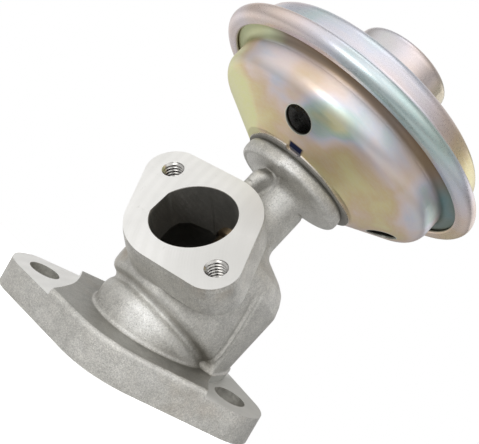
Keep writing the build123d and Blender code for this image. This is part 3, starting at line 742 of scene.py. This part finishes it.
def bore_material():
    m = Mat("gas_way_walls")
    big, fine = m.noise(120, 5, 0.6), m.noise(1500, 3, 0.6)
    col = m.ramp(big, [(0.3, (0.24, 0.235, 0.22)), (0.55, (0.34, 0.33, 0.31)), (0.75, (0.44, 0.43, 0.40))])
    z = m.xyz(m.co)[2]
    rings = m.math("SINE", m.math("MULTIPLY", z, 2 * math.pi / 0.0011))
    col = m.mix(m.span(fine, 0.5, 0.75, 0.0, 0.5), col, (0.50, 0.49, 0.46))
    col = m.mix(1.0, col, (0.80, 0.80, 0.79), "MULTIPLY")
    # painted shade: the walls go near-black below 43.5 mm, most below 37.5 mm, low in the chamber and the port
    col = m.mix(m.span(z, 0.0375, 0.0435, 0.62, 0.0), col, (0.075, 0.072, 0.06))
    # painted light: the walls are lighter and more mottled toward the port's mouth and in the bolt holes, beyond 22 to
    # 25 mm from the vertical axis
    far = m.span(m.vec("LENGTH", m.vec("MULTIPLY", m.co, (1.0, 1.0, 0.0))), 0.022, 0.025)
    col = m.mix(far, col, m.ramp(m.noise(500, 4, 0.65), [(0.35, (0.34, 0.33, 0.30)), (0.6, (0.55, 0.54, 0.50))]))
    h = m.math("ADD", fine, m.math("MULTIPLY", rings, 0.12))
    m.set(Base_Color=col, Roughness=m.span(fine, 0.3, 0.7, 0.42, 0.62), Metallic=0.7, Normal=m.bump(h, 0.5, 0.00014))
    return m.m


def thread_material():
    m = Mat("cut_thread")
    fine = m.noise(1900, 3, 0.6)
    col = m.ramp(m.noise(300, 4), [(0.3, (0.46, 0.45, 0.43)), (0.7, (0.70, 0.69, 0.67))])
    # painted shade: near-black deep in the thread's roots
    col = m.mix(m.cavity(0.8, 0.35, 0.85), (0.10, 0.09, 0.08), col)
    col = m.mix(m.span(fine, 0.55, 0.8, 0.0, 0.6), col, (0.35, 0.34, 0.32))
    m.set(Base_Color=col, Roughness=m.span(fine, 0.3, 0.7, 0.14, 0.28), Metallic=0.95, Normal=m.bump(fine, 0.18, 0.00005))
    return m.m


CUP_Z, CONE = 70.5, math.radians(28.5)


def zinc_material(name, kind):
    """Zinc plate with a yellow chromate film. Its colour follows the film's thickness: pale, straw, rose, blue-violet, green."""
    m = Mat(name)
    x, y, z = m.xyz(m.co)
    yr = m.math("SUBTRACT", y, AY * MM)
    r = m.math("SQRT", m.math("ADD", m.math("MULTIPLY", x, x), m.math("MULTIPLY", yr, yr)))
    az = m.math("ARCTAN2", yr, x)
    # stretched round the axis, the way the sheet was drawn and the film ran
    ring = m.join(m.math("MULTIPLY", az, 0.010), m.math("MULTIPLY", r, 1.0), m.math("MULTIPLY", z, 1.0))
    blot = m.noise(62, 1.6, 0.45, distortion=0.4)
    flow = m.noise(140, 2, 0.5, vec=ring)
    drawn = m.noise(1500, 4, 0.7, vec=ring)
    fine = m.noise(1700, 3, 0.6)
    film = m.math("ADD", m.math("MULTIPLY", m.math("SUBTRACT", blot, 0.5), 1.15), m.math("MULTIPLY", m.math("SUBTRACT", flow, 0.5), 0.7))
    return m, dict(x=x, y=yr, z=z, r=r, az=az, blot=blot, flow=flow, drawn=drawn, fine=fine, film=film)


FILM = [(0.00, (0.82, 0.81, 0.42)), (0.13, (0.85, 0.77, 0.43)), (0.27, (0.80, 0.65, 0.37)), (0.38, (0.81, 0.63, 0.44)), (0.48, (0.86, 0.70, 0.62)),
        (0.58, (0.83, 0.74, 0.77)), (0.68, (0.72, 0.74, 0.84)), (0.78, (0.56, 0.70, 0.70)), (0.89, (0.60, 0.73, 0.60)), (1.00, (0.82, 0.80, 0.50))]


def round_axis(m, k, stops):
    """A value or colour set by the angle round the axis, degrees from +X."""
    return m.ramp(m.span(k["az"], -math.pi, math.pi, 0.0, 1.0, "LINEAR"), [((a + 180.0) / 360.0, c) for a, c in stops])


def zinc_finish(m, k, t, rough=(0.20, 0.34), over=None):
    col = m.ramp(t, FILM)
    col = m.mix(m.span(k["drawn"], 0.40, 0.62, 0.0, 0.18), col, (0.86, 0.82, 0.74))
    col = m.mix(m.span(m.noise(330, 5, 0.7), 0.68, 0.82, 0.0, 0.4), col, (0.36, 0.30, 0.20))
    # painted highlight: a silvery band along the turned corner, round 36.2 mm from the axis
    painted_corner_highlight = m.math("MULTIPLY", m.span(m.math("ABSOLUTE", m.math("SUBTRACT", k["r"], 0.0362)), 0.0012, 0.0, 0.0, 1.0), 0.35)
    col = m.mix(m.math("MULTIPLY", painted_corner_highlight, m.span(k["blot"], 0.35, 0.6, 0.3, 1.0)), col, (0.88, 0.87, 0.83))
    if over:
        col = m.mix(over[0], col, over[1])
    # painted shade: brown darkening in the crease under the bead and round the boss, where the surface is enclosed
    deep = m.cavity(3, 0.20, 0.72)
    col = m.mix(deep, m.mix(1.0, col, (0.34, 0.25, 0.17), "MULTIPLY"), col)
    h = m.math("ADD", m.math("MULTIPLY", k["drawn"], 0.8), m.math("MULTIPLY", k["fine"], 0.35))
    n = m.bump(m.noise(75, 3, 0.5), 0.10, 0.0009, m.sound_normal())
    n = m.bump(h, 0.09, 0.00006, n)
    m.set(Base_Color=col, Roughness=m.span(k["fine"], 0.3, 0.7, *rough), Metallic=0.92, Normal=n)
    return m.m


def notch(m, az, r):
    """1 on the short dark stretch of the joint between the actuator and its seat, towards the outlet."""
    c = m.math("ABSOLUTE", m.math("SUBTRACT", az, math.radians(-71.0)))
    z = m.xyz(m.co)[2]
    return m.math("MULTIPLY", m.math("MULTIPLY", m.span(c, math.radians(5.0), math.radians(7.5), 1.0, 0.0), m.span(r, 0.0170, 0.0176)), m.span(z, 0.0712, 0.0715, 1.0, 0.0))


def cup_material():
    m, k = zinc_material("yellow_zinc_cup", "cup")
    # straw on the cone, rose to violet on the turned corner, straw again under the bead
    t = m.ramp(m.span(k["r"], 0.014, 0.044, 0.0, 1.0, "LINEAR"),
               [(0.0, 0.36), (0.30, 0.33), (0.50, 0.36), (0.62, 0.45), (0.70, 0.58), (0.765, 0.60), (0.81, 0.56), (0.92, 0.15), (1.0, 0.10)])
    t = m.math("ADD", t, m.math("MULTIPLY", k["film"], 0.80))
    # cooler round the vent that faces the outlet
    t = m.math("ADD", t, m.math("MULTIPLY", m.near((14.5, -25.5, 76.8), 3.0, 7.0), 0.30))
    # olive on the side away from the outlet ears
    c = m.math("DIVIDE", m.math("ADD", m.math("MULTIPLY", k["x"], -0.866), m.math("MULTIPLY", k["y"], -0.5)), k["r"])
    t = m.math("SUBTRACT", t, m.span(c, 0.78, 0.93, 0.0, 0.42), clamp=True)
    # painted shade and reflections on the ledge under the bead: green at one side, dark brown shade along the front,
    # blue-green at the other
    rim = m.math("MULTIPLY", m.span(k["z"], 0.0862, 0.0878), 0.85)
    painted_rim_light_and_shade = round_axis(m, k, [(-180, (0.56, 0.62, 0.36)), (-112, (0.58, 0.63, 0.36)), (-99, (0.22, 0.15, 0.08)), (-12, (0.19, 0.13, 0.08)), (4, (0.08, 0.20, 0.20)),
                             (60, (0.12, 0.24, 0.24)), (100, (0.32, 0.26, 0.13)), (180, (0.56, 0.62, 0.36))])
    # the three vents: a silvery lip round each, a painted highlight, and the wall inside painted near-black as shade
    for a in (-75.5, 38.5, 161.5):
        a = math.radians(a)
        q = m.vec("SUBTRACT", m.co, (0.0281 * math.cos(a), AY * MM + 0.0281 * math.sin(a), CUP_Z * MM + 0.0085 * math.tan(CONE)))
        d = m.vec("LENGTH", m.vec("CROSS_PRODUCT", q, (math.sin(CONE) * math.cos(a), math.sin(CONE) * math.sin(a), -math.cos(CONE))))
        edge = m.span(d, 0.0045, 0.0047, 1.0, 0.0)
        lip = m.span(m.vec("DOT_PRODUCT", q, (math.sin(CONE) * math.cos(a), math.sin(CONE) * math.sin(a), -math.cos(CONE))), -0.0005, -0.0002)
        rim = m.math("MAXIMUM", rim, edge)
        painted_rim_light_and_shade = m.mix(edge, painted_rim_light_and_shade, m.mix(lip, (0.05, 0.045, 0.035), (0.88, 0.89, 0.80)))
    # near-black blue painted on the short stretch by the shim's notch
    blue = notch(m, k["az"], k["r"])
    return zinc_finish(m, k, t, (0.33, 0.42), (m.math("MAXIMUM", rim, blue), m.mix(blue, painted_rim_light_and_shade, (0.015, 0.022, 0.07))))


def cover_material():
    m, k = zinc_material("yellow_zinc_cover", "cover")
    turn = round_axis(m, k, [(-180, 0.50), (-140, 0.52), (-93, 0.72), (-61, 0.62), (-22, 0.49), (-5, 0.20), (20, 0.18), (70, 0.50), (130, 0.68), (180, 0.50)])
    turn = m.mix(m.span(k["r"], 0.0090, 0.0165), (0.52, 0.52, 0.52), turn)
    t = m.math("ADD", turn, m.math("MULTIPLY", k["film"], 0.35))
    # the crown of the rolled bead has its own run of colour
    bead = m.math("MULTIPLY", m.span(k["z"], 0.0955, 0.0930), m.span(k["r"], 0.0395, 0.0410))
    tb = m.math("ADD", round_axis(m, k, [(-180, 0.55), (-143, 0.56), (-98, 0.52), (-66, 0.77), (-26, 0.80), (2, 0.55), (40, 0.35), (90, 0.70), (140, 0.80), (180, 0.55)]),
                m.math("MULTIPLY", k["film"], 0.25))
    t = m.math("ADD", m.math("MULTIPLY", t, m.math("SUBTRACT", 1.0, bead)), m.math("MULTIPLY", tb, bead), clamp=True)
    # the drawn boss is greyer
    boss = m.math("MULTIPLY", m.span(k["z"], 0.1040, 0.1075), m.span(k["blot"], 0.3, 0.6, 0.30, 0.62))
    return zinc_finish(m, k, t, (0.26, 0.38), (boss, m.mix(m.span(k["blot"], 0.35, 0.65), (0.62, 0.59, 0.64), (0.70, 0.65, 0.60))))


def nipple_material():
    m, k = zinc_material("yellow_zinc_nipple", "nipple")
    t = m.math("ADD", m.span(k["blot"], 0.3, 0.7, 0.20, 0.48), k["film"], clamp=True)
    return zinc_finish(m, k, t, (0.24, 0.36))


def steel_material(name, lo, hi, rough=(0.22, 0.38), turned=0.0009, tint=None, metallic=0.95, strength=0.2):
    m = Mat(name)
    x, y, z = m.xyz(m.co)
    yr = m.math("SUBTRACT", y, AY * MM)
    r = m.math("SQRT", m.math("ADD", m.math("MULTIPLY", x, x), m.math("MULTIPLY", yr, yr)))
    ring = m.join(m.math("MULTIPLY", m.math("ARCTAN2", yr, x), 0.002), r, z)
    lines = m.noise(2600, 3, 0.7, vec=ring)
    big, fine = m.noise(150, 5, 0.6), m.noise(1800, 3, 0.6)
    col = m.ramp(big, [(0.3, lo), (0.7, hi)])
    if tint:
        col = m.mix(m.span(m.noise(95, 4), 0.45, 0.7, 0.0, 0.6), col, tint)
    col = m.mix(m.span(lines, 0.35, 0.7, 0.0, 0.25), col, hi)
    col = m.mix(m.math("MULTIPLY", m.edges(0.53, 0.62), 0.5), col, tuple(min(1.0, c * 1.35) for c in hi))
    # near-black blue painted on the short stretch by the shim's notch
    if tint:
        col = m.mix(notch(m, m.math("ARCTAN2", yr, x), r), col, (0.015, 0.022, 0.07))
    groove = m.math("SINE", m.math("MULTIPLY", m.math("ADD", r, z), 2 * math.pi / turned))
    h = m.math("ADD", m.math("ADD", lines, m.math("MULTIPLY", fine, 0.4)), m.math("MULTIPLY", groove, 0.06))
    m.set(Base_Color=col, Roughness=m.span(fine, 0.3, 0.7, *rough), Metallic=metallic, Normal=m.bump(h, strength, 0.00006))
    return m.m


def soft_material(name, lo, hi, rough, scale, metallic=0.0, strength=0.4, weave=False):
    m = Mat(name)
    big, fine = m.noise(scale, 5, 0.6), m.noise(scale * 14, 3, 0.6)
    col = m.mix(m.span(fine, 0.35, 0.7), m.ramp(big, [(0.3, lo), (0.7, hi)]), tuple(c * 1.25 for c in hi))
    h = fine
    if weave:
        x, y, z = m.xyz(m.co)
        wx = m.math("SINE", m.math("MULTIPLY", x, 2 * math.pi / 0.0009))
        wy = m.math("SINE", m.math("MULTIPLY", y, 2 * math.pi / 0.0009))
        h = m.math("ADD", fine, m.math("MULTIPLY", m.math("MULTIPLY", wx, wy), 0.4))
    m.set(Base_Color=col, Roughness=m.span(fine, 0.3, 0.7, *rough), Metallic=metallic, Normal=m.bump(h, strength, 0.00012))
    return m.m


def dress(mat, *names):
    for n in names:
        for s in NODES[n].material_slots:
            s.material = mat


dress(cup_material(), "lower_cup")
dress(cover_material(), "back_cover")
dress(nipple_material(), "vacuum_nipple")
BRIGHT = steel_material("zinc_plated_steel", (0.50, 0.50, 0.50), (0.68, 0.68, 0.67))
dress(BRIGHT, "clamp_ring", "cup_screws", "screw_lock_washers", "seal_retainer", "spring_seat", "lower_plate", "upper_plate", "stem_washer",
      "nut_lock_washer", "stem_nut")
dress(steel_material("shim_steel", (0.52, 0.50, 0.47), (0.70, 0.67, 0.62), tint=(0.60, 0.52, 0.44)), "shim_plate")
dress(steel_material("spring_wire", (0.20, 0.20, 0.21), (0.34, 0.34, 0.35), rough=(0.28, 0.42)), "return_spring")
dress(steel_material("heat_resisting_steel_turned", (0.22, 0.20, 0.18), (0.42, 0.38, 0.33), rough=(0.26, 0.42), tint=(0.40, 0.26, 0.15)),
      "valve_head", "valve_stem", "valve_seat")
dress(steel_material("guide_bronze_turned", (0.28, 0.20, 0.12), (0.48, 0.37, 0.24), rough=(0.28, 0.44), tint=(0.22, 0.15, 0.09)), "guide_bush")
dress(soft_material("pressed_graphite", (0.045, 0.045, 0.05), (0.10, 0.10, 0.11), (0.45, 0.65), 260, metallic=0.3), "stem_seal")
dress(soft_material("fibre_gasket", (0.21, 0.20, 0.18), (0.31, 0.30, 0.275), (0.70, 0.9), 300), "actuator_gasket")
dress(soft_material("diaphragm_fabric_rubber", (0.030, 0.030, 0.031), (0.055, 0.055, 0.057), (0.48, 0.66), 120, weave=True), "diaphragm")


# ------------------------------------------------------------------ copies of the return spring and the diaphragm, in place of the CAD pieces
def flexible(name, node):
    """A copy of a CAD piece in the CAD piece's place; the CAD piece itself is hidden."""
    ob = bpy.data.objects.new(name, NODES[node].data.copy())
    bpy.context.scene.collection.objects.link(ob)
    ob.matrix_world = NODES[node].matrix_world.copy()
    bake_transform(ob)
    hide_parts(node)


flexible("coil_spring", "return_spring")
flexible("rolling_diaphragm", "diaphragm")

# ------------------------------------------------------------------ the casting
housing = casting_mesh([cast_material(), machined_material(), bore_material(), thread_material()], 0.4)
housing.name = housing.data.name = "valve_housing_casting"
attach(housing, "valve_body")
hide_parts("valve_housing")

# ------------------------------------------------------------------ camera, at the photograph's viewing angle
RIGHT, UP, BACK = Vector((0.6477489, 0.3436387, 0.6799512)), Vector((-0.4811499, -0.5074611, 0.7148273)), Vector((0.5906911, -0.7901871, -0.1633657))
cam = bpy.data.objects.new("camera", bpy.data.cameras.new("camera"))
bpy.context.scene.collection.objects.link(cam)
mw = Matrix((RIGHT, UP, BACK)).transposed().to_4x4()
mw.translation = Vector((0.162948, -0.220938, 0.003546))
cam.matrix_world = mw
cam.data.sensor_width = 36.0
cam.data.lens = 36.0 * 1005.25 / 479.0
cam.data.clip_start, cam.data.clip_end = 0.01, 50.0
bpy.context.scene.camera = cam

# ------------------------------------------------------------------ floor
lo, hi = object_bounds()
fm = Mat("studio_floor")
fn = fm.noise(9, 4, 0.5)
fm.set(Base_Color=fm.ramp(fn, [(0.3, (0.90, 0.90, 0.90)), (0.7, (0.93, 0.93, 0.93))]), Roughness=0.9, Emission_Color=(1.0, 1.0, 1.0),
       Emission_Strength=1.0)
fm.b.inputs["Specular IOR Level"].default_value = 0.1
s = 12.0
floor = bpy.data.objects.new("floor", bpy.data.meshes.new("floor"))
floor.data.from_pydata([(-s, -s, 0), (s, -s, 0), (s, s, 0), (-s, s, 0)], [], [(0, 1, 2, 3)])
floor.data.materials.append(fm.m)
floor.location = (0, 0, lo.z - 0.0001)
bpy.context.scene.collection.objects.link(floor)
floor.visible_shadow = floor.visible_diffuse = floor.visible_glossy = False

# ------------------------------------------------------------------ light: a white studio with soft darker sides
world = bpy.data.worlds.new("studio")
bpy.context.scene.world = world
world.use_nodes = True
wt = world.node_tree
wn = wt.nodes
for q in list(wn):
    wn.remove(q)
wout = wn.new("ShaderNodeOutputWorld")


def wlink(a, b):
    wt.links.new(a, b)


gen = wn.new("ShaderNodeTexCoord").outputs["Generated"]


def lobe(direction, lo_cos, hi_cos):
    """0 to 1 by the angle between the sky direction and a fixed direction."""
    d = wn.new("ShaderNodeVectorMath")
    d.operation = "DOT_PRODUCT"
    wlink(gen, d.inputs[0])
    d.inputs[1].default_value = Vector(direction).normalized()
    r = wn.new("ShaderNodeMapRange")
    r.interpolation_type = "SMOOTHSTEP"
    wlink(d.outputs["Value"], r.inputs["Value"])
    r.inputs["From Min"].default_value = lo_cos
    r.inputs["From Max"].default_value = hi_cos
    return r.outputs["Result"]


def wmath(op, a, b):
    n = wn.new("ShaderNodeMath")
    n.operation = op
    n.inputs[2].default_value = 0.5
    for s_, v in zip(n.inputs, (a, b)):
        if isinstance(v, bpy.types.NodeSocket):
            wlink(v, s_)
        else:
            s_.default_value = v
    return n.outputs[0]


NORMAL = (0.74 * UP + 0.67 * BACK - 0.06 * RIGHT).normalized()     # out of the outlet's face: the soft box is over it
nd = wn.new("ShaderNodeVectorMath")
nd.operation = "DOT_PRODUCT"
wlink(gen, nd.inputs[0])
nd.inputs[1].default_value = NORMAL
sky = wn.new("ShaderNodeValToRGB")
wlink(wmath("MULTIPLY_ADD", nd.outputs["Value"], 0.5), sky.inputs[0])
SKY = [(0.0, 0.26), (0.15, 0.36), (0.28, 0.64), (0.42, 0.68), (0.50, 0.36), (0.57, 0.38), (0.72, 0.78), (0.88, 1.0), (1.0, 0.97)]
for q, (pos, v) in enumerate(SKY):
    e = sky.color_ramp.elements[0] if q == 0 else sky.color_ramp.elements.new(pos) if q < len(SKY) - 1 else sky.color_ramp.elements[-1]
    e.position = pos
    e.color = (v, v, v, 1)
total = sky.outputs[0]
# soft patches and dark flags: direction in the camera's right, up and back, cosines from edge to full, level
for a, b, c, lo_cos, hi_cos, level in ((0.10, 0.35, 0.90, 0.75, 0.98, 0.22), (-1.0, 0.0, 0.0, 0.55, 0.97, 0.10), (-0.05, -0.85, -0.50, 0.70, 0.97, 0.27),
                                       (-0.52, -0.10, -0.85, 0.88, 0.985, 0.30), (-0.75, -0.65, -0.05, 0.86, 0.98, -0.36), (0.62, 0.50, 0.60, 0.86, 0.98, 0.35),
                                       (-0.78, 0.39, 0.50, 0.86, 0.98, -0.25), (0.80, -0.20, -0.50, 0.75, 0.95, -0.32), (0.07, -0.10, 0.99, 0.85, 0.98, -0.12),
                                       (0.10, 0.43, -0.90, 0.90, 0.99, 0.22)):
    total = wmath("ADD", total, wmath("MULTIPLY", lobe(a * RIGHT + b * UP + c * BACK, lo_cos, hi_cos), level))
total = wmath("MAXIMUM", wmath("MULTIPLY", total, 0.95), 0.04)
lit = wn.new("ShaderNodeBackground")
lit.inputs["Color"].default_value = (1.0, 0.995, 0.985, 1)
wlink(total, lit.inputs["Strength"])
seen = wn.new("ShaderNodeBackground")
seen.inputs["Color"].default_value = (1, 1, 1, 1)
seen.inputs["Strength"].default_value = 1.0
mixw = wn.new("ShaderNodeMixShader")
wlink(wn.new("ShaderNodeLightPath").outputs["Is Camera Ray"], mixw.inputs[0])
wlink(lit.outputs[0], mixw.inputs[1])
wlink(seen.outputs[0], mixw.inputs[2])
wlink(mixw.outputs[0], wout.inputs["Surface"])

MIDDLE = Vector((0.0, 0.0, 0.05))


def softbox(name, direction, dist, size, power, colour=(1, 1, 1)):
    d = Vector(direction).normalized()
    li = bpy.data.lights.new(name, "AREA")
    li.shape = "DISK"
    li.size = size
    li.energy = power
    li.color = colour
    ob = bpy.data.objects.new(name, li)
    ob.location = MIDDLE + d * dist
    ob.rotation_euler = (-d).to_track_quat("-Z", "Y").to_euler()
    ob.visible_camera = False
    bpy.context.scene.collection.objects.link(ob)


softbox("key", 0.34 * UP - 0.30 * RIGHT + 0.88 * BACK, 0.75, 0.42, 0.66, (1.0, 0.99, 0.97))
softbox("rim", 0.8 * UP + 0.5 * RIGHT - 0.1 * BACK, 0.7, 0.35, 0.2)
softbox("back_fill", (0.2, 0.9, 0.45), 0.8, 0.6, 0.8)

bpy.context.scene.view_settings.view_transform = "Standard"
bpy.context.scene.view_settings.look = "None"
bpy.context.scene.view_settings.exposure = 0.0
bpy.context.scene.view_settings.gamma = 1.0
